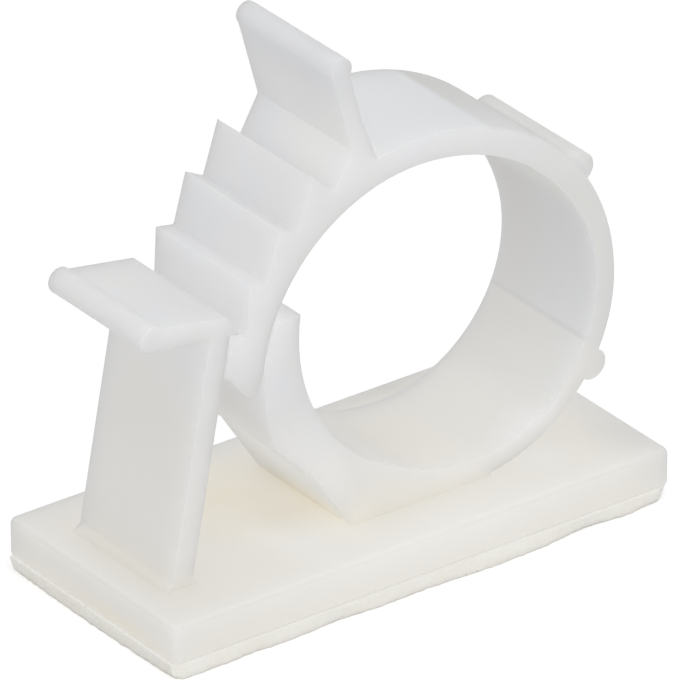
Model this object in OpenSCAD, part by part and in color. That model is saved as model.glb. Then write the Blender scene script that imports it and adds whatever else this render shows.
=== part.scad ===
// Adhesive cable clip: one moulded piece whose strap loops over a cable and catches in a ratchet latch,
// held to a surface by a pad of foam tape.
// Millimetres. X runs along the base towards the loop, Y across it, Z up from the pad's underside.

/* [Base] */
// length of the base plate
base_length = 27.5; // [25:0.5:32]
// width of the base plate
base_width = 12.7; // [10:0.1:16]
// thickness of the base plate without the pad
base_thickness = 1.96; // [1.6:0.02:2.6]
// plan radius of the base plate's corners
base_corner = 0.4; // [0.4:0.1:1.2]
// rounding of the base plate's upper and lower edges
base_edge = 0.3; // [0.15:0.05:0.35]

/* [Adhesive pad] */
// thickness of the foam tape
pad_thickness = 0.78; // [0.5:0.02:1.2]
// distance that the foam tape stays inside the base plate's two ends
pad_end_inset = 0.4; // [0.1:0.05:0.8]
// distance that the foam tape stays inside the base plate's two long sides
pad_side_inset = 0.1; // [0.05:0.05:0.4]
// plan radius of the foam tape's corners
pad_corner = 0.2; // [0.1:0.05:0.5]

/* [Strap] */
// width of the strap, the latch and the guide arm
clip_width = 7; // [5:0.5:9]
// distance from the base's middle to the loop's centre
loop_offset = 4.69; // [4:0.01:6]
// thickness of the floor under the loop, above the base plate
loop_floor = 1.06; // [0.9:0.02:1.4]
// inner radius of the loop, which seats the cable
loop_radius = 6.95; // [6.6:0.05:7.3]
// wall of the loop's lower half, where the strap bends most
loop_wall = 1; // [0.8:0.05:1.2]
// inner radius of the strap's side between loop and shoulder
side_radius = 8.95; // [8.6:0.05:9.3]
// growth of the strap's outer radius above the loop's centre, which thickens the strap upwards
side_growth = 1.9; // [1.4:0.1:2.4]
// inner radius of the shoulder between side and crown
shoulder_radius = 10.25; // [9.8:0.05:10.6]
// inner radius of the crown that carries the teeth
crown_radius = 8.6; // [8.3:0.05:8.9]
// wall of the shoulder and the crown
crown_wall = 1.3; // [1.1:0.05:1.5]
// radius of the flatter floor between the loop and the guide arm
floor_radius = 10; // [9:0.5:12]

/* [Ribs] */
// radius of the two ribs across the strap's outside
rib_radius = 0.76; // [0.65:0.01:0.9]
// place of the lower rib, in degrees about the loop's centre
lower_rib_angle = -32; // [-40:1:-25]
// place of the upper rib, in degrees about the shoulder's centre
upper_rib_angle = 39.3; // [39:0.1:41]

/* [Teeth] */
// place of the first notch, in degrees about the crown's centre
tooth_start = 118.1; // [116:0.1:120]
// step from one notch to the next, in degrees
tooth_pitch = 14.63; // [14:0.01:15.2]
// number of teeth
tooth_count = 4; // [3:1:4]
// height of the second tooth over the crown's outer wall
tooth_height = 0.98; // [0.8:0.02:1.1]
// loss of height from each tooth to the next, towards the strap's end
tooth_fade = 0.1; // [0.05:0.01:0.15]
// height of the first tooth, beside the thumb tab
first_tooth_height = 1.52; // [1.2:0.02:1.7]
// lean of a tooth's tip past its notch, in degrees
tooth_lean = 2; // [1:0.1:3]
// lean of the first tooth's tip past its notch, in degrees
first_tooth_lean = 2.9; // [2:0.1:4]
// length of the strap's end below the last tooth
end_length = 1.6; // [1.3:0.1:1.9]

/* [Thumb tab] */
// height of the crook in the tab over the crown's outer wall
tab_crook = 1.15; // [0.9:0.05:1.4]
// length of the tab from the crook to the bead's centre
tab_length = 4.15; // [3:0.05:5]
// thickness of the tab
tab_thickness = 0.86; // [0.7:0.02:1.1]
// lean of the tab from upright towards the latch, in degrees
tab_lean = 15.4; // [10:0.2:20]
// radius of the bead along the tab's edge
tab_bead = 0.57; // [0.5:0.01:0.7]

/* [Guide arm] */
// gap between the strap's inner face and the guide arm
arm_gap = 0.15; // [0.1:0.01:0.3]
// height of the guide arm's tip over the crown's centre
arm_tip = 3.23; // [2.6:0.01:3.6]
// inner radius of the guide arm
arm_radius = 8.95; // [8.7:0.05:9.2]
// distance from the loop's centre back to the foot of the guide arm
arm_foot = 6.7; // [6:0.1:7.2]

/* [Latch] */
// lean of the latch post from upright towards the strap, in degrees
post_lean = 10.4; // [8:0.2:12]
// thickness of the latch post
post_thickness = 1.07; // [0.9:0.01:1.3]
// gap between the latch post and the last tooth
post_gap = 0.16; // [0.12:0.01:0.3]
// widening of the latch post at its foot
post_foot = 0.35; // [0.2:0.05:0.5]
// reach of the pawl out over the last tooth, measured from the crown's outer wall
pawl_gap = 0.45; // [0.4:0.01:0.6]
// length of the slanted lead-in over the pawl
pawl_slant = 0.78; // [0.6:0.02:0.9]
// gap between the pawl and the last tooth's ledge
pawl_lift = 0.12; // [0.08:0.01:0.2]
// thickness of the release lip
lip_thickness = 0.9; // [0.8:0.01:1]
// slope of the release lip's underside, rising away from the strap, in degrees
lip_slope = 7.4; // [6:0.2:10]
// taper of the release lip, which thickens away from the strap, in degrees
lip_taper = 2; // [0:0.2:3]
// length of the release lip from the pawl to the bead's centre
lip_length = 4.75; // [4:0.05:5.2]
// radius of the bead along the lip's edge
lip_bead = 0.63; // [0.56:0.01:0.75]

/* [Hidden] */
$fn = 96;

// depth that the standing parts are rooted in the base plate
root = 0.3;
// depth that joined outlines run into each other
bite = 0.4;
// amount that a bead stands proud of the face it runs along
bead_proud = 0.05;
// depth that the upper rib's axis lies under the strap's outer face
rib_sink = 0.05;
// size of shapes that only need to reach past the part
far = 40;
// depth that the teeth's notches reach into the crown
notch_depth = 0.03;
// turn by which a tooth's root stays inside its two notches, in degrees
tooth_inset = 1;
// share of the crown's wall, from its inner face, where the strap's slanted end starts
end_outer_share = 0.6;
// share of the crown's wall, from its inner face, where the strap's end stops
end_inner_share = 0.25;
// depth below the crown's inner face from which the strap's end is relieved, as a share of its wall
relief_share = 0.2;
// turn from the last notch to the strap's end, in degrees
end_turn = 18;
// turn from the last notch to the start of the relief inside the strap's end, in degrees
relief_turn = 4.7;
// turn from the first notch back to the crook in the thumb tab, in degrees
crook_turn = 8.6;
// turn from the first notch back to the front of the thumb tab's root, in degrees
tab_toe_turn = 13.2;
// turn from the first notch back to the foot of the thumb tab's fillet, in degrees
tab_fillet_turn = 14.4;
// height of the fillet's foot over the crown's outer wall
tab_fillet_height = 0.1;
// place of the guide arm's inner arc, from the crown's centre
arm_shift = [2.35, 1.98];
// place of the bend in the guide arm's outer face, in degrees about the crown's centre
arm_bend_angle = 222.2;
// depth of that bend inside the crown's inner radius
arm_bend_depth = 0.83;
// place where the guide arm's outer face starts to follow the strap, in degrees about the crown's centre
arm_knee_angle = 195.6;
// slope of the guide arm's toe on the loop's floor, in degrees
toe_slope = -26.8;
// place of that toe, in degrees about the floor's centre
toe_angle = -105.9;
// distance that the floor's arc is cut away past the toe
toe_reach = 1.6;
// share of the loop's radius over which the crevice under the loop is filled
crevice_share = 0.15;

// upper face of the base plate
base_top = pad_thickness + base_thickness;

// directions in which one arc of the strap passes into the next
down = [0, -1];
outward = [1, 0];
side_way = [0.96, 0.28];
shoulder_way = [0.8, 0.6];
up = [0, 1];
back = [-1, 0];

// centres of the strap's arcs
loop_center = [loop_offset, base_top + loop_floor + loop_radius];
floor_center = loop_center + (loop_radius - floor_radius) * down;
side_center = loop_center + (loop_radius - side_radius) * side_way;
shoulder_center = side_center + (side_radius - shoulder_radius) * shoulder_way;
crown_center = shoulder_center + (shoulder_radius - crown_radius) * up;

// outer arc of the strap above the loop's centre
side_outer_radius = loop_radius + loop_wall + side_growth;
side_outer_center = loop_center + (loop_radius + loop_wall - side_outer_radius) * outward;

// outer wall of the crown, on which the teeth stand
crown_outer = crown_radius + crown_wall;
// direction in which the crown's arc ends, a little below level
crown_end_way = [-1, -0.1];

function way(a) = [cos(a), sin(a)];
function on_crown(r, a) = crown_center + r * way(a);
function notch_angle(k) = tooth_start + k * tooth_pitch;
function tip_height(k) = k == 0 ? first_tooth_height : tooth_height - (k - 1) * tooth_fade;
function tip_lean(k) = k == 0 ? first_tooth_lean : tooth_lean;
function tooth_tip(k) = on_crown(crown_outer + tip_height(k), notch_angle(k) + tip_lean(k));

// the last tooth and the strap's end
last_tooth = tooth_count - 1;
last_tip = tooth_tip(last_tooth);
post_way = way(90 - post_lean);
end_corner = last_tip - end_length * post_way;
end_outer = on_crown(crown_radius + end_outer_share * crown_wall, notch_angle(last_tooth) + end_turn);
end_inner = on_crown(crown_radius + end_inner_share * crown_wall, notch_angle(last_tooth) + end_turn);
end_relief = on_crown(crown_radius - relief_share * crown_wall, notch_angle(last_tooth) + relief_turn);

// the thumb tab
tab_way = way(90 + tab_lean);
tab_side = way(tab_lean);
tab_crook_point = on_crown(crown_outer + tab_crook, tooth_start - crook_turn);
tab_top = tab_crook_point + tab_length * tab_way + (tab_bead - bead_proud) * tab_side;
tab_toe = on_crown(crown_outer - bite, tooth_start - tab_toe_turn);
tab_root = on_crown(crown_outer - bite, tooth_start);

// the guide arm
arm_center = crown_center + arm_shift;
arm_outer = crown_radius - arm_gap;
arm_foot_point = [loop_center[0] - arm_foot, base_top];
arm_bend = on_crown(crown_radius - arm_bend_depth, arm_bend_angle);
arm_foot_root = arm_foot_point + root / (arm_bend[1] - base_top) * (arm_foot_point - arm_bend);
arm_knee = on_crown(crown_radius + bite, arm_knee_angle);
toe_way = way(toe_slope);
toe_point = floor_center + floor_radius * way(toe_angle);

// the latch
post_face = last_tip - [post_gap, 0];
post_rise = (post_face[1] - base_top) / post_way[1];
post_inner_foot = post_face - post_rise * post_way;
post_outer_foot = post_inner_foot - [post_thickness / post_way[1], 0];
post_length = post_rise + bite + lip_thickness / 2;
pawl_tip = on_crown(crown_outer + pawl_gap, notch_angle(last_tooth)) + [0, pawl_lift];
lip_way = way(180 - lip_slope);
lip_up = way(90 - lip_slope);
pawl_top = pawl_tip + (lip_thickness + pawl_slant * tan(lip_taper)) * lip_up + pawl_slant * lip_way;
lip_end = pawl_tip + lip_length * lip_way;
lip_end_thickness = lip_thickness + lip_length * tan(lip_taper);
lip_bead_center = lip_end + (lip_bead - bead_proud) * lip_up;

// one arc of the strap, between two directions seen from its centre
module strap_arc(center, inner, outer_center, outer, from, to) {
    difference() {
        intersection() {
            translate(outer_center)
                circle(outer);
            translate(center)
                polygon([[0, 0], far * from, far * (from + to), far * to]);
        }
        translate(center)
            circle(inner);
    }
}

// the strap from the loop's floor round to the crown
module strap_arcs() {
    strap_arc(loop_center, loop_radius, loop_center, loop_radius + loop_wall, down, outward);
    strap_arc(loop_center, loop_radius, side_outer_center, side_outer_radius, outward, side_way);
    strap_arc(side_center, side_radius, side_outer_center, side_outer_radius, side_way, shoulder_way);
    strap_arc(shoulder_center, shoulder_radius, shoulder_center, shoulder_radius + crown_wall, shoulder_way, up);
}

// one ratchet tooth: a steep ledge and a long face down to the next notch
module tooth(k) {
    inside = crown_outer - bite;
    notch = crown_outer - notch_depth;
    polygon([
        on_crown(inside, notch_angle(k) + tooth_inset),
        on_crown(notch, notch_angle(k)),
        tooth_tip(k),
        on_crown(notch, notch_angle(k + 1)),
        on_crown(inside, notch_angle(k + 1) - tooth_inset)
    ]);
}

// the crown's toothed stretch and the strap's end, which narrows to lead into the latch
module crown() {
    difference() {
        union() {
            strap_arc(crown_center, crown_radius, crown_center, crown_outer, up, crown_end_way);
            for (k = [0 : last_tooth - 1])
                tooth(k);
            polygon([
                on_crown(crown_radius + bite, notch_angle(last_tooth) + tooth_inset),
                on_crown(crown_outer - notch_depth, notch_angle(last_tooth)),
                last_tip,
                end_corner - bite * post_way,
                on_crown(crown_radius + bite, notch_angle(last_tooth) + end_turn + tooth_inset)
            ]);
        }
        polygon([
            end_corner + (end_corner - end_outer),
            end_outer,
            end_inner,
            end_relief,
            end_relief + far * down,
            end_corner + far * (down + back)
        ]);
    }
}

// a rib across the outside of the strap
module rib(center, radius, angle) {
    translate(center + radius * way(angle))
        circle(rib_radius);
}

// the thumb tab with its beaded edge
module thumb_tab() {
    polygon([
        tab_root,
        on_crown(crown_outer - notch_depth, tooth_start),
        tab_crook_point,
        tab_crook_point + tab_length * tab_way,
        tab_crook_point + tab_length * tab_way + tab_thickness * tab_side,
        tab_crook_point + tab_crook * tab_way + tab_thickness * tab_side,
        on_crown(crown_outer + tab_fillet_height, tooth_start - tab_fillet_turn),
        tab_toe
    ]);
    translate(tab_top)
        circle(tab_bead);
}

// the guide arm and its root, which also carries the floor under the loop
module guide_arm() {
    difference() {
        union() {
            intersection() {
                translate(crown_center)
                    circle(arm_outer);
                polygon([
                    arm_bend,
                    arm_knee,
                    [arm_knee[0] - bite, crown_center[1] + arm_tip],
                    [loop_center[0], crown_center[1] + arm_tip],
                    [loop_center[0], arm_bend[1]]
                ]);
            }
            polygon([
                arm_foot_root,
                arm_bend,
                arm_bend + bite * up,
                [loop_center[0], arm_bend[1] + bite],
                [loop_center[0], base_top - root]
            ]);
        }
        intersection() {
            union() {
                translate(arm_center)
                    circle(arm_radius);
                intersection() {
                    translate(floor_center)
                        circle(floor_radius);
                    translate([toe_point[0] - toe_reach, 0])
                        square([far, far]);
                }
            }
            polygon([
                toe_point - far * toe_way,
                toe_point + far * toe_way,
                toe_point + far * toe_way + 2 * far * up,
                toe_point - far * toe_way + 2 * far * up
            ]);
        }
    }
}

// the fill of the narrow crevice between the loop's underside and the base plate
module loop_foot() {
    translate([loop_center[0] - bite, base_top - root])
        square([bite + crevice_share * loop_radius, root + bite]);
}

// the latch post, the release lip and the pawl at the lip's inner edge
module latch() {
    rooted = root * down;
    polygon([
        post_outer_foot + post_foot * back + rooted,
        post_outer_foot + post_foot * back,
        post_outer_foot + post_foot * post_way,
        post_outer_foot + post_length * post_way,
        post_inner_foot + post_length * post_way,
        post_inner_foot + post_foot * post_way,
        post_inner_foot + post_foot * outward,
        post_inner_foot + post_foot * outward + rooted
    ]);
    polygon([
        pawl_tip,
        pawl_top,
        lip_end + lip_end_thickness * lip_up,
        lip_end
    ]);
    translate(lip_bead_center)
        circle(lip_bead);
}

// half section of the base plate's rim, with its rounded upper and lower edge
module rim_section(reach) {
    intersection() {
        translate([0, -far])
            square([far, 2 * far]);
        union() {
            square([reach - base_edge, base_thickness]);
            translate([0, base_edge])
                square([reach, base_thickness - 2 * base_edge]);
            translate([reach - base_edge, base_edge])
                circle(base_edge);
            translate([reach - base_edge, base_thickness - base_edge])
                circle(base_edge);
        }
    }
}

// the base plate, with rounded corners and edges
module base_plate() {
    inner_length = base_length - 2 * base_corner;
    inner_width = base_width - 2 * base_corner;
    translate([0, 0, pad_thickness]) {
        translate([-inner_length / 2, -inner_width / 2, 0])
            cube([inner_length, inner_width, base_thickness]);
        for (turn = [0, 180])
            rotate([0, 0, turn]) {
                translate([inner_length / 2, inner_width / 2, 0])
                    rotate([90, 0, 0])
                        linear_extrude(inner_width)
                            rim_section(base_corner);
                translate([-inner_length / 2, inner_width / 2, 0])
                    rotate([90, 0, 90])
                        linear_extrude(inner_length)
                            rim_section(base_corner);
                translate([inner_length / 2, inner_width / 2, 0])
                    rotate_extrude(angle = 90)
                        rim_section(base_corner);
                translate([-inner_length / 2, inner_width / 2, 0])
                    rotate([0, 0, 90])
                        rotate_extrude(angle = 90)
                            rim_section(base_corner);
            }
    }
}

// everything that stands on the base plate, seen from the front
module clip_outline() {
    strap_arcs();
    crown();
    rib(loop_center, loop_radius + loop_wall, lower_rib_angle);
    rib(shoulder_center, shoulder_radius + crown_wall - rib_sink, upper_rib_angle);
    thumb_tab();
    guide_arm();
    loop_foot();
    latch();
}

// the moulded piece: base plate, strap, guide arm and latch
module clip_body() {
    color("#e3e1da")
        union() {
            base_plate();
            translate([0, clip_width / 2, 0])
                rotate([90, 0, 0])
                    linear_extrude(clip_width)
                        clip_outline();
        }
}

// the double-sided foam tape under the base plate
module adhesive_pad() {
    pad_length = base_length - 2 * pad_end_inset;
    pad_width = base_width - 2 * pad_side_inset;
    color("#bdb6a8")
        linear_extrude(pad_thickness) {
            square([pad_length - 2 * pad_corner, pad_width], center = true);
            square([pad_length, pad_width - 2 * pad_corner], center = true);
            for (sx = [-1, 1], sy = [-1, 1])
                translate([sx * (pad_length / 2 - pad_corner), sy * (pad_width / 2 - pad_corner)])
                    circle(pad_corner);
        }
}

clip_body();
adhesive_pad();
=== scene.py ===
"""Looks of the adhesive cable clip: milky nylon on a rough-cut foam pad, on a pale floor.

Names that end in _MM hold millimetres, and other lengths are metres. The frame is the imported
model's own: X along the base towards the loop, Y across it, Z up from the pad's underside.
"""

import math

import bmesh
import bpy
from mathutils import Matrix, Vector, noise


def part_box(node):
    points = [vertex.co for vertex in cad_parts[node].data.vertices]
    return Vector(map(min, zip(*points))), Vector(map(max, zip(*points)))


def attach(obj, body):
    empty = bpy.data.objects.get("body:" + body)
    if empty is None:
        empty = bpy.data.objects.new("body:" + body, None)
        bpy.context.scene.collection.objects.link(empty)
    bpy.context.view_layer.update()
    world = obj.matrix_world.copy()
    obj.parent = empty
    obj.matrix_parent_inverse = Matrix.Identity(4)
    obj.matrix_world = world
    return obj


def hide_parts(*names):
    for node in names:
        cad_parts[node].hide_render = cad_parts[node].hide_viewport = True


MM = 0.001


def srgb(red, green, blue):
    """A colour given as 0 to 255 in the picture, as the linear colour that a shader takes."""
    def linear(value):
        part = value / 255.0
        return part / 12.92 if part <= 0.04045 else ((part + 0.055) / 1.055) ** 2.4
    return (linear(red), linear(green), linear(blue), 1.0)


# The photograph's view of the clip: a long lens, looking down on the latch's corner
VIEW_AZIMUTH = math.radians(-36.69)
VIEW_ELEVATION = math.radians(28.45)
VIEW_DISTANCE = 555.6 * MM
VIEW_TARGET = Vector((-0.1, 0.0, 10.0)) * MM
VIEW_RIGHT_MM = 0.053
VIEW_DOWN_MM = 0.013
VIEW_NEAR = 0.01
VIEW_FAR = 10.0
LENS_MM = 663.1
SENSOR_MM = 36.0

# Light level and floor; the floor's glow is for the camera and reflections alone
AMBIENT = 0.46
LAMP_SIZE = 1.0
LAMPS = (
    ("key", (-0.4, -0.5, 0.5), 3.25),
    ("overhead", (0.0, 0.0, 0.8), 1.3),
    ("fill", (0.35, -0.55, 0.5), 0.8),
)
WHITE = (1.0, 1.0, 1.0, 1.0)
FLOOR_SIZE = 1.2
FLOOR_COLOUR = (0.8, 0.8, 0.8, 1.0)
FLOOR_GLOW = 0.36

# Moulded edges of the nylon
EDGE_RADIUS = 0.05 * MM
EDGE_SEGMENTS = 3
EDGE_ANGLE = math.radians(28.0)
WELD_DISTANCE = 0.002 * MM
FLAT_ANGLE = math.radians(0.3)

# Surfaces of the nylon and the foam
EVEN_RADIUS = (1.0, 1.0, 1.0)
BUMP_DEPTH = 0.05 * MM
NYLON_PASSES = 0.96
NYLON_SCATTER = 5.0 * MM
NYLON_IOR = 1.53
NYLON_SPECULAR = 0.2
NYLON_ROUGHNESS = (0.52, 0.62)
NYLON_BUMP = 0.06
FOAM_SCATTER = 0.5 * MM
FOAM_SCATTER_SHARE = 0.5
FOAM_SPECULAR = 0.1
FOAM_ROUGHNESS = (0.8, 0.95)
FOAM_BUMP = 0.2

# Noise in the materials: waves in a millimetre, detail, roughness
NYLON_CLOUDS = (0.3, 3.0, 0.5)
NYLON_GRAIN = (5.0, 4.0, 0.6)
FOAM_CLOUDS = (0.9, 4.0, 0.6)
FOAM_GRAIN = (9.0, 4.0, 0.65)
# cells of the foam in a millimetre
FOAM_CELL_DENSITY = 5.0
# the part of a noise's values over which a tone or the roughness changes
WIDE_PART = (0.3, 0.7)
NARROW_PART = (0.35, 0.65)

# Tones of the nylon, and where along the clip one passes into the next
STRAP_COOL = srgb(226, 227, 231)
STRAP_PLAIN = srgb(227, 227, 227)
TAB_TONE = srgb(215, 216, 220)
TAB_RISE_MM = (22.5, 25.5)
RIGHT_TONE = srgb(218, 218, 214)
RIGHT_RUN_MM = (4.0, 12.0)
POST_TONE = srgb(222, 220, 214)
POST_MIDDLE_MM = (-10.0, 0.0, 8.5)
POST_REACH_MM = (6.0, 9.0, 8.5)
BASE_TONE = srgb(238, 235, 228)
BASE_OUTER_TONE = srgb(227, 224, 218)
BASE_MIDDLE_MM = (1.0, -6.0, 2.0)
BASE_REACH_MM = (15.0, 14.0, 9.0)
BASE_RISE_MM = (3.0, 10.0)

# Patches on the nylon: name, middle and reach in millimetres, strength, colour. Those marked below are
# painted light or painted shade, not a tone of the nylon
PATCHES = (
    # painted light: lightens the arm's left face, which leans over the base and lies in shade
    ("painted light, left face of the arm", (-4.6, 0.0, 5.6), (3.8, 8.0, 5.0), 1.0, srgb(255, 254, 250)),
    # partly a warm tint, partly painted shade: the base between the post and the arm, under the arm
    ("warm tint and painted shade under the arm", (-4.4, 1.5, 2.7), (5.8, 5.2, 0.9), 1.0, srgb(230, 222, 206)),
    # painted light: lightens the corner at the arm's foot, where the arm shades the base
    ("painted light, foot of the arm", (-2.2, -1.6, 3.0), (2.4, 4.2, 1.6), 0.95, srgb(252, 245, 232)),
    # its front: the same warm tint and painted shade
    ("front of the warm painted shade", (-3.4, -0.7, 2.7), (2.9, 3.2, 0.55), 0.75, srgb(226, 218, 205)),
    ("warm streak on the left side", (-13.8, -2.0, 1.1), (1.6, 5.5, 0.8), 0.6, srgb(236, 224, 204)),
    # painted shade: darkens the base's right end, which faces away from the light
    ("painted shade, right end of the base", (13.4, -4.0, 2.7), (3.0, 5.5, 1.8), 0.55, srgb(206, 205, 203)),
    # painted shadow: the loop's shadow on the base's top behind it
    ("painted shadow of the loop, on the base", (7.0, 6.4, 2.75), (5.5, 2.4, 0.7), 0.9, srgb(208, 204, 198)),
    # painted light: lightens where the loop meets the base and shades it, and cools the cream there
    ("painted light, foot of the loop", (8.5, -3.5, 4.2), (3.0, 2.5, 2.2), 0.9, srgb(246, 246, 247)),
    ("loop's right face", (11.9, -3.5, 9.5), (2.0, 2.5, 3.5), 0.7, srgb(211, 210, 208)),
    # painted shade: darkens the lip's bead and the crease beside it
    ("painted shade, bead of the lip", (-12.9, 0.0, 15.6), (1.1, 8.0, 1.1), 0.9, srgb(211, 211, 210)),
    # painted light: lightens the strap's end, which the lip shades
    ("strap's end", (-7.0, -1.5, 14.5), (3.0, 7.0, 4.0), 0.9, srgb(242, 242, 244)),
    ("tab's root", (-2.2, -2.0, 21.8), (3.0, 5.5, 3.2), 0.8, srgb(243, 242, 240)),
)
# the clouds thin a patch to this share of its strength
PATCH_CLOUDS = (0.3, 0.6)
PATCH_THINNEST = 0.7

# The base's rounded rim: its painted shade, which dims the light the rim catches, and the slopes and
# heights at which it starts and ends
RIM_SHADE_TONE = srgb(200, 197, 190)
RIM_STRENGTH = 0.25
RIM_START_SLOPE = (0.05, 0.5)
RIM_END_SLOPE = (0.98, 0.6)
RIM_END_MM = (2.9, 2.75)

# The loop's inner face: its axis, its skin, where it starts on the right, and the line that crosses it; the
# face gets painted shade, as less light reaches inside the loop
LOOP_AXIS_MM = (4.69, 0.0, 10.75)
LOOP_SKIN_MM = (7.12, 6.98)
LOOP_START_MM = (7.5, 9.5)
LOOP_DEPTH_MM = (-3.5, 3.5)
LOOP_LINE_MM = 7.93
LOOP_LINE_HALF_MM = 0.09
LOOP_LINE_STRENGTH = 0.5
LOOP_LINE_TONE = srgb(198, 198, 197)
# tones of its painted shade at its front and back
LOOP_SHADE_ABOVE = (srgb(214, 215, 217), srgb(207, 206, 205))
LOOP_SHADE_BELOW = (srgb(219, 219, 217), srgb(214, 212, 208))

# The shoulder's outer face: its axis, its skin under the rib, where it starts, and the line that crosses
# it; beyond the line it gets painted shade, where the face turns away from the light
SHOULDER_AXIS_MM = (1.73, 0.0, 9.41)
SHOULDER_SKIN_MM = (11.43, 11.53)
SHOULDER_RIB_MM = (11.85, 11.53)
SHOULDER_START_MM = (-0.5, 0.3)
SHOULDER_RISE_MM = (14.5, 17.0)
SHOULDER_DEPTH_MM = (-3.5, 4.5)
SHOULDER_LINE_MM = 5.65
SHOULDER_LINE_HALF_MM = 0.35
SHOULDER_BEFORE = srgb(222, 224, 227)
# tones of its painted shade at its front and back
SHOULDER_PAINTED_SHADE = (srgb(213, 213, 214), srgb(198, 198, 196))

# Tones of the foam: its left cut is greyer, with more pores, and open cells are specks low on the cut
FOAM_PALE = srgb(252, 249, 241)
FOAM_CREAM = srgb(249, 245, 236)
LEFT_CUT_TONE = srgb(236, 234, 230)
LEFT_CUT_MM = (-12.9, -13.4)
LEFT_CUT_STRENGTH = 0.1
PORE_TONE = srgb(190, 186, 178)
PORE_PART = (0.5, 0.66)
PORE_SHARES = (0.06, 0.22)
SPECK_TONE = srgb(120, 115, 105)
SPECK_CELLS = (0.26, 0.1)
SPECK_PART = (0.5, 0.62)
SPECK_RISE_MM = (0.4, 0.05)
SPECK_STRENGTH = 0.9
CELL_RELIEF = 0.7

# The foam pad's outline and thickness
PAD_LEFT_MM = -13.47
PAD_RIGHT_MM = 13.3
PAD_FRONT_MM = -6.22
PAD_BACK_MM = 6.42
PAD_TOP_MM = 0.78
PAD_CORNER_MM = 0.25
PAD_STEP_MM = 0.14
PAD_ROWS = 6
PAD_LEFT_BOW_MM = 0.14
PAD_RIM_MM = 0.3
PAD_GLUE_MM = 0.04
PAD_CUT_BEND = 0.6
PAD_SHARP_ANGLE = math.radians(50.0)
PAD_STEEP = 0.7
# its roughness and grain: height, and waves in a millimetre or in the pad's thickness
PAD_ROUGH_MM = 0.05
PAD_ROUGH_WAVES = 1.7
PAD_GRAIN_MM = 0.05
PAD_GRAIN_WAVES = 4.0
PAD_GRAIN_ROWS = 3.0
# dents in its front cut: place along X, half width, depth
PAD_DENTS_MM = (
    (-4.9, 1.3, 0.13),
    (-9.4, 0.8, 0.08),
    (0.2, 0.9, 0.05),
    (4.2, 2.6, -0.14),
    (9.2, 1.5, 0.27),
    (12.9, 0.9, 0.22),
)

# Colour sockets of Blender's mix node
MIX_FACTOR = 0
MIX_FIRST = 6
MIX_SECOND = 7
MIX_RESULT = 2


class Nodes:
    """Adds and links the nodes of one material."""

    def __init__(self, tree):
        self.tree = tree

    def add(self, kind, inputs=None, **settings):
        """A new node, with each input linked to a socket or set to a value."""
        node = self.tree.nodes.new(kind)
        for name, value in settings.items():
            setattr(node, name, value)
        for name, value in (inputs or {}).items():
            socket = node.inputs[name]
            if isinstance(value, bpy.types.NodeSocket):
                self.tree.links.new(value, socket)
            else:
                socket.default_value = value
        return node

    def vector(self, operation, first, second):
        return self.add("ShaderNodeVectorMath", {0: first, 1: second}, operation=operation).outputs

    def math(self, operation, first, second=0.0):
        return self.add("ShaderNodeMath", {0: first, 1: second}, operation=operation).outputs[0]

    def mix(self, factor, first, second):
        """The first colour, passing into the second as the factor goes from 0 to 1."""
        inputs = {MIX_FACTOR: factor, MIX_FIRST: first, MIX_SECOND: second}
        return self.add("ShaderNodeMix", inputs, data_type="RGBA").outputs[MIX_RESULT]

    def millimetres(self):
        """The place on the object, in millimetres of the row frame."""
        place = self.add("ShaderNodeTexCoord").outputs["Object"]
        return self.vector("MULTIPLY", place, (1.0 / MM, 1.0 / MM, 1.0 / MM))[0]

    def axes(self, vector):
        """The X, Y and Z of a vector."""
        return self.add("ShaderNodeSeparateXYZ", {"Vector": vector}).outputs

    def noise(self, place, scale, detail, roughness):
        inputs = {"Vector": place, "Scale": scale, "Detail": detail, "Roughness": roughness}
        return self.add("ShaderNodeTexNoise", inputs).outputs["Fac"]

    def ramp(self, value, low, high, start=0.0, end=1.0):
        """value from low to high, as start to end, smoothly and held at both ends."""
        inputs = {"Value": value, "From Min": low, "From Max": high, "To Min": start, "To Max": end}
        node = self.add("ShaderNodeMapRange", inputs, interpolation_type="SMOOTHSTEP")
        return node.outputs["Result"]

    def step(self, value, middle, half):
        """0 below a line, 1 above it, changing over half on each side."""
        return self.ramp(value, middle - half, middle + half)

    def spread(self, place, middle, reach, start=0.0, end=1.0):
        """start at middle, changing to end at reach from it along each axis, in millimetres."""
        away = self.vector("SUBTRACT", place, middle)[0]
        share = self.vector("DIVIDE", away, reach)[0]
        length = self.add("ShaderNodeVectorMath", {0: share}, operation="LENGTH").outputs["Value"]
        return self.ramp(length, 0.0, 1.0, start, end)

    def from_axis(self, place, axis):
        """The distance from an axis that runs across the clip, in millimetres."""
        flat = self.vector("MULTIPLY", place, (1.0, 0.0, 1.0))[0]
        return self.vector("DISTANCE", flat, axis)["Value"]

    def seen(self):
        """1 for what the camera sees, also in a reflection or through glass, and 0 for light on its way."""
        rays = self.add("ShaderNodeLightPath").outputs
        indirect = self.math("MAXIMUM", rays["Is Glossy Ray"], rays["Is Transmission Ray"])
        return self.math("MAXIMUM", rays["Is Camera Ray"], indirect)


def new_material(name):
    """An empty material, and the helper that adds its nodes."""
    material = bpy.data.materials.new(name)
    material.use_nodes = True
    tree = material.node_tree
    tree.nodes.clear()
    return material, Nodes(tree)


def finish_material(nodes, shader):
    """Makes the shader the material's surface."""
    nodes.add("ShaderNodeOutputMaterial", {"Surface": shader.outputs[0]})


def let_light_pass(nodes, shader, share):
    """The shader, but letting a share of the light that falls on it through to what lies behind."""
    rays = nodes.add("ShaderNodeLightPath").outputs
    lit = nodes.math("MAXIMUM", rays["Is Shadow Ray"], rays["Is Diffuse Ray"])
    clear = nodes.add("ShaderNodeBsdfTransparent")
    return nodes.add("ShaderNodeMixShader", {
        0: nodes.math("MULTIPLY", lit, share),
        1: shader.outputs[0],
        2: clear.outputs[0],
    })


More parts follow.
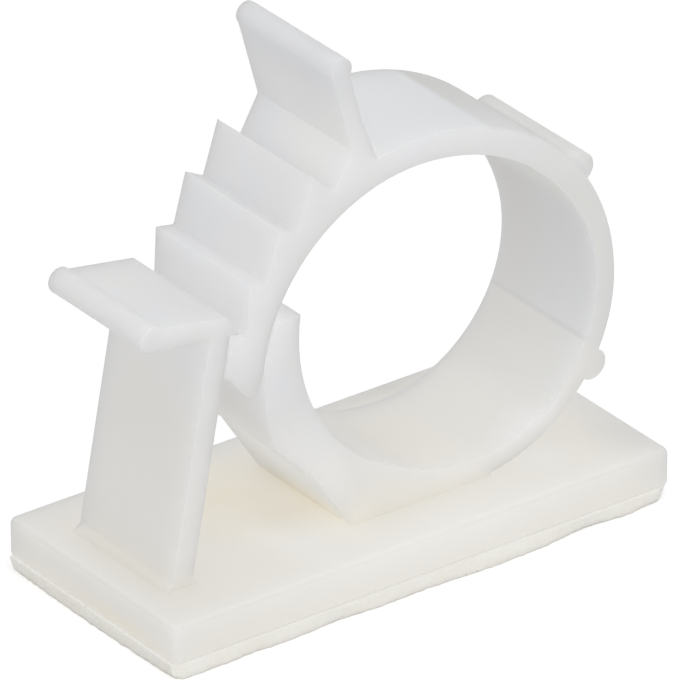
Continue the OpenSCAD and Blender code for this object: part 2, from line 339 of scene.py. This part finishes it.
def painted_shoulder_shade(nodes, place, axes, colour):
    """The outer face between the tab and the upper rib: painted shade, darker beyond a line where the face
    turns away from the light, most at the back.
    """
    away = nodes.from_axis(place, SHOULDER_AXIS_MM)
    skin = nodes.math("MULTIPLY", nodes.ramp(away, *SHOULDER_SKIN_MM), nodes.ramp(away, *SHOULDER_RIB_MM))
    start = nodes.ramp(axes["X"], *SHOULDER_START_MM)
    reach = nodes.math("MULTIPLY", start, nodes.ramp(axes["Z"], *SHOULDER_RISE_MM))
    outside = nodes.math("MULTIPLY", skin, reach)
    beyond = nodes.mix(nodes.ramp(axes["Y"], *SHOULDER_DEPTH_MM), *SHOULDER_PAINTED_SHADE)
    step = nodes.step(axes["X"], SHOULDER_LINE_MM, SHOULDER_LINE_HALF_MM)
    face = nodes.mix(step, SHOULDER_BEFORE, beyond)
    return nodes.mix(outside, colour, face)


def painted_loop_shade(nodes, place, axes, colour):
    """The loop's inner face: painted shade, darker towards its back where less light reaches, and darker
    above a line that crosses it.
    """
    skin = nodes.ramp(nodes.from_axis(place, LOOP_AXIS_MM), *LOOP_SKIN_MM)
    inside = nodes.math("MULTIPLY", skin, nodes.ramp(axes["X"], *LOOP_START_MM))
    back = nodes.ramp(axes["Y"], *LOOP_DEPTH_MM)
    above = nodes.mix(back, *LOOP_SHADE_ABOVE)
    below = nodes.mix(back, *LOOP_SHADE_BELOW)
    face = nodes.mix(nodes.step(axes["Z"], LOOP_LINE_MM, LOOP_LINE_HALF_MM), below, above)
    from_line = nodes.math("ABSOLUTE", nodes.math("SUBTRACT", axes["Z"], LOOP_LINE_MM))
    line = nodes.ramp(from_line, 0.0, 2 * LOOP_LINE_HALF_MM, LOOP_LINE_STRENGTH, 0.0)
    face = nodes.mix(line, face, LOOP_LINE_TONE)
    return nodes.mix(inside, colour, face)


def painted_rim_shade(nodes, axes, colour):
    """The rounded rim of the base: painted shade, a little darker than its top and sides, dimming the light
    the rim catches.
    """
    facing = nodes.add("ShaderNodeNewGeometry").outputs["Normal"]
    slope = nodes.axes(facing)["Z"]
    bent = nodes.math("MULTIPLY", nodes.ramp(slope, *RIM_START_SLOPE), nodes.ramp(slope, *RIM_END_SLOPE))
    rim = nodes.math("MULTIPLY", bent, nodes.ramp(axes["Z"], *RIM_END_MM, 0.0, RIM_STRENGTH))
    return nodes.mix(rim, colour, RIM_SHADE_TONE)


def strap_tone(nodes, place, axes, clouds):
    """The thin parts: cool and clouded, greyer up the tab, duller to the right and on the post."""
    colour = nodes.mix(nodes.ramp(clouds, *NARROW_PART), STRAP_COOL, STRAP_PLAIN)
    colour = nodes.mix(nodes.ramp(axes["Z"], *TAB_RISE_MM), colour, TAB_TONE)
    colour = nodes.mix(nodes.ramp(axes["X"], *RIGHT_RUN_MM), colour, RIGHT_TONE)
    post = nodes.spread(place, POST_MIDDLE_MM, POST_REACH_MM, 1.0, 0.0)
    return nodes.mix(post, colour, POST_TONE)


def nylon_colour(nodes, place, axes, clouds):
    """Cream in the base, cooler in the strap, with the patches, lines and rim that the photograph shows;
    many of these are painted shade and painted light.
    """
    outer = nodes.spread(place, BASE_MIDDLE_MM, BASE_REACH_MM)
    base = nodes.mix(outer, BASE_TONE, BASE_OUTER_TONE)
    strap = strap_tone(nodes, place, axes, clouds)
    colour = nodes.mix(nodes.ramp(axes["Z"], *BASE_RISE_MM), base, strap)
    thinning = nodes.ramp(clouds, *PATCH_CLOUDS, PATCH_THINNEST, 1.0)
    for _, middle, reach, strength, tone in PATCHES:
        share = nodes.spread(place, middle, reach, strength, 0.0)
        colour = nodes.mix(nodes.math("MULTIPLY", share, thinning), colour, tone)
    colour = painted_shoulder_shade(nodes, place, axes, colour)
    colour = painted_loop_shade(nodes, place, axes, colour)
    return painted_rim_shade(nodes, axes, colour)


def nylon_material():
    """Natural nylon: milky, scattering light inside it and letting most of it through."""
    material, nodes = new_material("milky_nylon")
    place = nodes.millimetres()
    clouds = nodes.noise(place, *NYLON_CLOUDS)
    grain = nodes.noise(place, *NYLON_GRAIN)
    bump = nodes.add("ShaderNodeBump", {"Height": grain, "Strength": NYLON_BUMP, "Distance": BUMP_DEPTH})
    shader = nodes.add("ShaderNodeBsdfPrincipled", {
        "Base Color": nylon_colour(nodes, place, nodes.axes(place), clouds),
        "Roughness": nodes.ramp(clouds, *WIDE_PART, *NYLON_ROUGHNESS),
        "IOR": NYLON_IOR,
        "Specular IOR Level": NYLON_SPECULAR,
        "Subsurface Weight": 1.0,
        "Subsurface Radius": EVEN_RADIUS,
        "Subsurface Scale": NYLON_SCATTER,
        "Normal": bump.outputs[0],
    })
    finish_material(nodes, let_light_pass(nodes, shader, NYLON_PASSES))
    return material


def foam_colour(nodes, place, cells, grain):
    """Off-white, greyer on the left cut, with pores all over and dark specks low on the cut."""
    axes = nodes.axes(place)
    clouds = nodes.noise(place, *FOAM_CLOUDS)
    colour = nodes.mix(nodes.ramp(clouds, *NARROW_PART), FOAM_PALE, FOAM_CREAM)
    left_cut = nodes.ramp(axes["X"], *LEFT_CUT_MM)
    colour = nodes.mix(nodes.math("MULTIPLY", left_cut, LEFT_CUT_STRENGTH), colour, LEFT_CUT_TONE)
    pore_share = nodes.ramp(left_cut, 0.0, 1.0, *PORE_SHARES)
    pores = nodes.math("MULTIPLY", nodes.ramp(grain, *PORE_PART), pore_share)
    colour = nodes.mix(pores, colour, PORE_TONE)
    specks = nodes.math("MULTIPLY", nodes.ramp(cells, *SPECK_CELLS), nodes.ramp(grain, *SPECK_PART))
    specks = nodes.math("MULTIPLY", specks, nodes.ramp(axes["Z"], *SPECK_RISE_MM, 0.0, SPECK_STRENGTH))
    return nodes.mix(specks, colour, SPECK_TONE)


def foam_material():
    """Foam tape: matt and rough, with open cells."""
    material, nodes = new_material("foam_tape")
    place = nodes.millimetres()
    voronoi = nodes.add("ShaderNodeTexVoronoi", {"Vector": place, "Scale": FOAM_CELL_DENSITY})
    cells = voronoi.outputs["Distance"]
    grain = nodes.noise(place, *FOAM_GRAIN)
    relief = nodes.math("ADD", nodes.math("MULTIPLY", cells, CELL_RELIEF), grain)
    bump = nodes.add("ShaderNodeBump", {"Height": relief, "Strength": FOAM_BUMP, "Distance": BUMP_DEPTH})
    shader = nodes.add("ShaderNodeBsdfPrincipled", {
        "Base Color": foam_colour(nodes, place, cells, grain),
        "Roughness": nodes.ramp(grain, *WIDE_PART, *FOAM_ROUGHNESS),
        "Specular IOR Level": FOAM_SPECULAR,
        "Subsurface Weight": FOAM_SCATTER_SHARE,
        "Subsurface Radius": EVEN_RADIUS,
        "Subsurface Scale": FOAM_SCATTER,
        "Normal": bump.outputs[0],
    })
    finish_material(nodes, shader)
    return material


def floor_material():
    """A pale floor that the camera sees as white where no shadow falls."""
    material, nodes = new_material("pale_floor")
    matt = nodes.add("ShaderNodeBsdfDiffuse", {"Color": FLOOR_COLOUR})
    strength = nodes.math("MULTIPLY", nodes.seen(), FLOOR_GLOW)
    glow = nodes.add("ShaderNodeEmission", {"Color": WHITE, "Strength": strength})
    finish_material(nodes, nodes.add("ShaderNodeAddShader", {0: matt.outputs[0], 1: glow.outputs[0]}))
    return material


def add_object(name, data):
    """A new object in the scene."""
    thing = bpy.data.objects.new(name, data)
    bpy.context.scene.collection.objects.link(thing)
    return thing


def dress(node, material):
    """Gives an object one material in place of what it has."""
    node.data.materials.clear()
    node.data.materials.append(material)


def round_edges(node):
    """Gives the CAD piece the small radii of a moulding, without touching its mesh."""
    weld = node.modifiers.new("weld", "WELD")
    weld.merge_threshold = WELD_DISTANCE
    flat = node.modifiers.new("join_flat_faces", "DECIMATE")
    flat.decimate_type = "DISSOLVE"
    flat.angle_limit = FLAT_ANGLE
    bevel = node.modifiers.new("moulded_edges", "BEVEL")
    bevel.width = EDGE_RADIUS
    bevel.segments = EDGE_SEGMENTS
    bevel.limit_method = "ANGLE"
    bevel.angle_limit = EDGE_ANGLE
    bevel.harden_normals = False
    normals = node.modifiers.new("even_shading", "WEIGHTED_NORMAL")
    normals.keep_sharp = True


def front_dent(along):
    """How far the dents set the pad's front cut back at a place along X, in millimetres."""
    return sum(depth * math.exp(-((along - middle) / width) ** 2) for middle, width, depth in PAD_DENTS_MM)


def pad_outline():
    """Points round the pad's cut at the floor, in millimetres, with the direction out of the pad."""
    front_left = Vector((PAD_LEFT_MM, PAD_FRONT_MM))
    front_right = Vector((PAD_RIGHT_MM, PAD_FRONT_MM))
    back_right = Vector((PAD_RIGHT_MM, PAD_BACK_MM))
    back_left = Vector((PAD_LEFT_MM, PAD_BACK_MM))
    sides = (
        ("front", front_left, front_right),
        ("right", front_right, back_right),
        ("back", back_right, back_left),
        ("left", back_left, front_left),
    )
    points = []
    for side, first, last in sides:
        along = (last - first).normalized()
        outward = Vector((along.y, -along.x))
        length = (last - first).length
        count = int(length / PAD_STEP_MM)
        for step in range(count):
            run = PAD_CORNER_MM + (length - 2 * PAD_CORNER_MM) * step / (count - 1)
            spot = first + along * run
            proud = PAD_ROUGH_MM * noise.noise(Vector((spot.x, spot.y, 0.0)) * PAD_ROUGH_WAVES)
            if side == "front":
                proud -= front_dent(spot.x)
            if side == "left":
                share = run / length
                proud += PAD_LEFT_BOW_MM * 4 * share * (1 - share)
            points.append((spot + outward * proud, outward))
    return points


def pad_point(spot, outward, share, flush):
    """A point of the pad's cut: on the rough outline at the floor, under the base's edge at the top."""
    beyond = spot + outward
    upper = Vector((max(-flush.x, min(flush.x, beyond.x)), max(-flush.y, min(flush.y, beyond.y))))
    grain_place = Vector((spot.x * PAD_GRAIN_WAVES, spot.y * PAD_GRAIN_WAVES, share * PAD_GRAIN_ROWS))
    rough = PAD_GRAIN_MM * noise.noise(grain_place) * (1 - share)
    middle = spot.lerp(upper, share ** PAD_CUT_BEND) + outward * rough
    return Vector((middle.x * MM, middle.y * MM, PAD_TOP_MM * share * MM))


def foam_pad():
    """The foam pad: a slab whose cut leans from the base's edge to a rough, wavy line on the floor."""
    outline = pad_outline()
    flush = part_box("clip_body")[1] / MM
    mesh = bmesh.new()
    rings = []
    for row in range(PAD_ROWS + 1):
        share = row / PAD_ROWS
        rings.append([mesh.verts.new(pad_point(spot, outward, share, flush)) for spot, outward in outline])
    total = len(outline)
    for lower, upper in zip(rings, rings[1:]):
        for index in range(total):
            after = (index + 1) % total
            mesh.faces.new((lower[index], lower[after], upper[after], upper[index]))
    mesh.faces.new(list(reversed(rings[0])))
    top = mesh.faces.new(rings[-1])
    bmesh.ops.inset_region(mesh, faces=[top], thickness=PAD_RIM_MM * MM, depth=-PAD_GLUE_MM * MM)
    data = bpy.data.meshes.new("foam_pad")
    mesh.to_mesh(data)
    mesh.free()
    for face in data.polygons:
        face.use_smooth = abs(face.normal.z) < PAD_STEEP
    data.set_sharp_from_angle(angle=PAD_SHARP_ANGLE)
    return add_object("foam_pad", data)


def place_and_turn(thing, place, towards):
    """Puts a camera or lamp at a place, looking in a direction with its top up."""
    thing.location = place
    thing.rotation_mode = "QUATERNION"
    thing.rotation_quaternion = towards.to_track_quat("-Z", "Y")


def make_camera():
    """The photograph's camera, moved a little sideways and down to meet its framing."""
    level = math.cos(VIEW_ELEVATION)
    away = Vector((
        math.sin(VIEW_AZIMUTH) * level,
        -math.cos(VIEW_AZIMUTH) * level,
        math.sin(VIEW_ELEVATION),
    ))
    nudge = (-away).to_track_quat("-Z", "Y") @ Vector((VIEW_RIGHT_MM, -VIEW_DOWN_MM, 0.0)) * MM
    data = bpy.data.cameras.new("camera")
    data.lens = LENS_MM
    data.sensor_width = SENSOR_MM
    data.clip_start = VIEW_NEAR
    data.clip_end = VIEW_FAR
    camera = add_object("camera", data)
    place_and_turn(camera, VIEW_TARGET + away * VIEW_DISTANCE + nudge, -away)
    bpy.context.scene.camera = camera


def make_lamp(name, place, watts):
    """A square soft lamp that faces the clip."""
    data = bpy.data.lights.new(name, "AREA")
    data.shape = "SQUARE"
    data.size = LAMP_SIZE
    data.energy = watts
    place_and_turn(add_object(name, data), place, VIEW_TARGET - Vector(place))


def make_world():
    """Even light from all round; the camera and reflections see plain white."""
    world = bpy.data.worlds.new("studio")
    world.use_nodes = True
    world.node_tree.nodes.clear()
    nodes = Nodes(world.node_tree)
    light = nodes.add("ShaderNodeBackground", {"Color": WHITE, "Strength": AMBIENT})
    white = nodes.add("ShaderNodeBackground", {"Color": WHITE, "Strength": 1.0})
    both = nodes.add("ShaderNodeMixShader", {0: nodes.seen(), 1: light.outputs[0], 2: white.outputs[0]})
    nodes.add("ShaderNodeOutputWorld", {"Surface": both.outputs[0]})
    bpy.context.scene.world = world


def make_floor():
    """A level square under the clip."""
    half = FLOOR_SIZE / 2
    corners = [(-half, -half, 0.0), (half, -half, 0.0), (half, half, 0.0), (-half, half, 0.0)]
    data = bpy.data.meshes.new("floor")
    data.from_pydata(corners, [], [(0, 1, 2, 3)])
    floor = add_object("floor", data)
    dress(floor, floor_material())


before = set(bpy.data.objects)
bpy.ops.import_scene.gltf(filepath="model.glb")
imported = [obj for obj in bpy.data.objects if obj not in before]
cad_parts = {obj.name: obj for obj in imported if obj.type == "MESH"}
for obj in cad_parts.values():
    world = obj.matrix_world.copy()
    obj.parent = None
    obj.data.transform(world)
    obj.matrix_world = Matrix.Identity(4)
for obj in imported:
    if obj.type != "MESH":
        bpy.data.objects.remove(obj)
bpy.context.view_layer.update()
bpy.context.scene.view_settings.view_transform = "Standard"

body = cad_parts["clip_body"]
dress(body, nylon_material())
round_edges(body)

pad = foam_pad()
dress(pad, foam_material())
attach(pad, "root")
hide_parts("adhesive_pad")

make_camera()
make_world()
for name, place, watts in LAMPS:
    make_lamp(name, place, watts)
make_floor()
